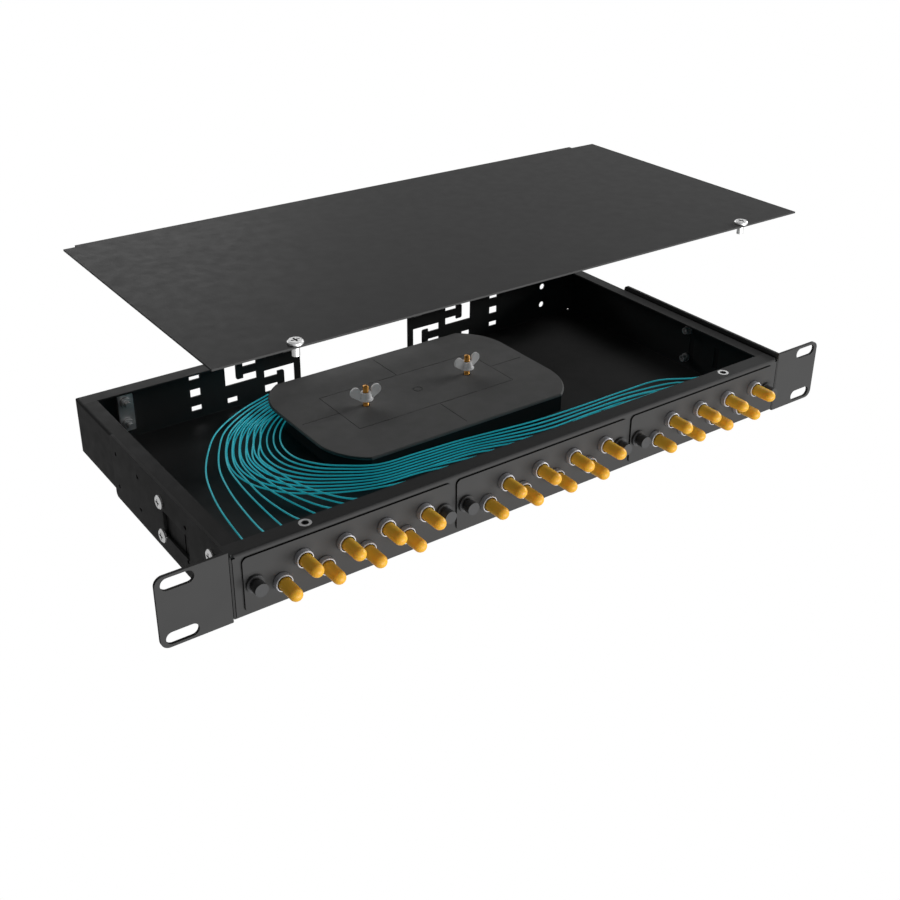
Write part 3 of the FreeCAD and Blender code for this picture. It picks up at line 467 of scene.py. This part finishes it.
def add_tube(vertices, faces, line):
    """Round tube along the line, closed at both ends."""
    start = len(vertices)
    side = (line[1] - line[0]).orthogonal().normalized()
    for n, point in enumerate(line):
        along = (line[min(n + 1, len(line) - 1)] - line[max(n - 1, 0)]).normalized()
        side = (side - along * side.dot(along)).normalized()
        other = along.cross(side)
        for k in range(fibre_sides):
            angle = 2 * math.pi * k / fibre_sides
            reach = side * math.cos(angle) + other * math.sin(angle)
            vertices.append(mm(*(point + reach * fibre_radius)))
    faces += skin(start, len(line), fibre_sides)


for plate in range(3):
    vertices, faces = [], []
    for number in range(plate * per_plate, (plate + 1) * per_plate):
        route = first_plate_route(number) if plate == 0 else other_plate_route(number)
        add_tube(vertices, faces, smooth_line(route))
    pigtails = add_mesh("pigtails_%d" % (plate + 1), vertices, faces, materials["fibre_jacket"])
    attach(pigtails, "frame")
    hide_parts("pigtail_fibres_%d" % (plate + 1))

# Camera: solved from the ears, slots and edges of the box in the photo; from here on in metres


def aimed(place, target):
    """Placement of a camera or light that looks from the place at the target."""
    turn = (target - place).to_track_quat("-Z", "Y")
    return Matrix.Translation(place) @ turn.to_matrix().to_4x4()


camera_target = Vector((0.00785, 0.0982, 0.01597))
camera_roll = 0.0106
camera_data = bpy.data.cameras.new("camera")
camera_data.sensor_width = 36
camera_data.lens = 48.673
camera_data.shift_x = -0.00582
camera_data.shift_y = -0.07744
camera_data.clip_start = 0.01
camera_data.clip_end = 10
camera = bpy.data.objects.new("camera", camera_data)
scene.collection.objects.link(camera)
camera.matrix_world = aimed(mm(*eye_in_box), camera_target) @ Matrix.Rotation(camera_roll, 4, "Z")
scene.camera = camera

# Lights and surroundings

box_middle = (0, 0.1, 0)
cover_middle = (0, 0.1, 0.05)


def area(name, place, target, width, height, power):
    data = bpy.data.lights.new(name, "AREA")
    data.shape = "RECTANGLE"
    data.size = width
    data.size_y = height
    data.energy = power
    light = bpy.data.objects.new(name, data)
    scene.collection.objects.link(light)
    light.matrix_world = aimed(Vector(place), Vector(target))
    light.visible_camera = False


area("front", (0.3, -1.6, -0.37), (0, 0, 0), width=1.8, height=0.72, power=31.5)
area("right", (1.7, 0.0, 0.45), box_middle, width=1.0, height=0.6, power=16)
area("behind", (0.0, 1.9, 0.7), box_middle, width=1.6, height=0.5, power=7.5)
area("top right behind", (1.2, 0.85, 1.6), cover_middle, width=0.8, height=0.8, power=5)
area("top", (0.6, 0.05, 1.6), cover_middle, width=0.8, height=0.8, power=2.6)

world = bpy.data.worlds.new("studio")
scene.world = world
world.use_nodes = True
nodes = world.node_tree.nodes
links = world.node_tree.links
nodes.clear()


def surrounding(colour, strength):
    background = nodes.new("ShaderNodeBackground")
    background.inputs["Color"].default_value = (*colour, 1)
    background.inputs["Strength"].default_value = strength
    return background.outputs[0]


def choose(switch, otherwise, chosen):
    """The chosen shader where the switch is 1."""
    mix = nodes.new("ShaderNodeMixShader")
    links.new(switch, mix.inputs["Fac"])
    links.new(otherwise, mix.inputs[1])
    links.new(chosen, mix.inputs[2])
    return mix.outputs[0]


# White for the camera, half as bright in mirrored light, black for all other light
path = nodes.new("ShaderNodeLightPath")
lit = choose(path.outputs["Is Glossy Ray"], surrounding(grey(0), 1.0), surrounding(grey(1), 0.5))
seen = choose(path.outputs["Is Camera Ray"], lit, surrounding(grey(1), 1.0))
links.new(seen, nodes.new("ShaderNodeOutputWorld").inputs["Surface"])

scene.render.resolution_x = 900
scene.render.resolution_y = 900
scene.render.resolution_percentage = 100
scene.view_settings.view_transform = "Standard"
scene.view_settings.look = "None"
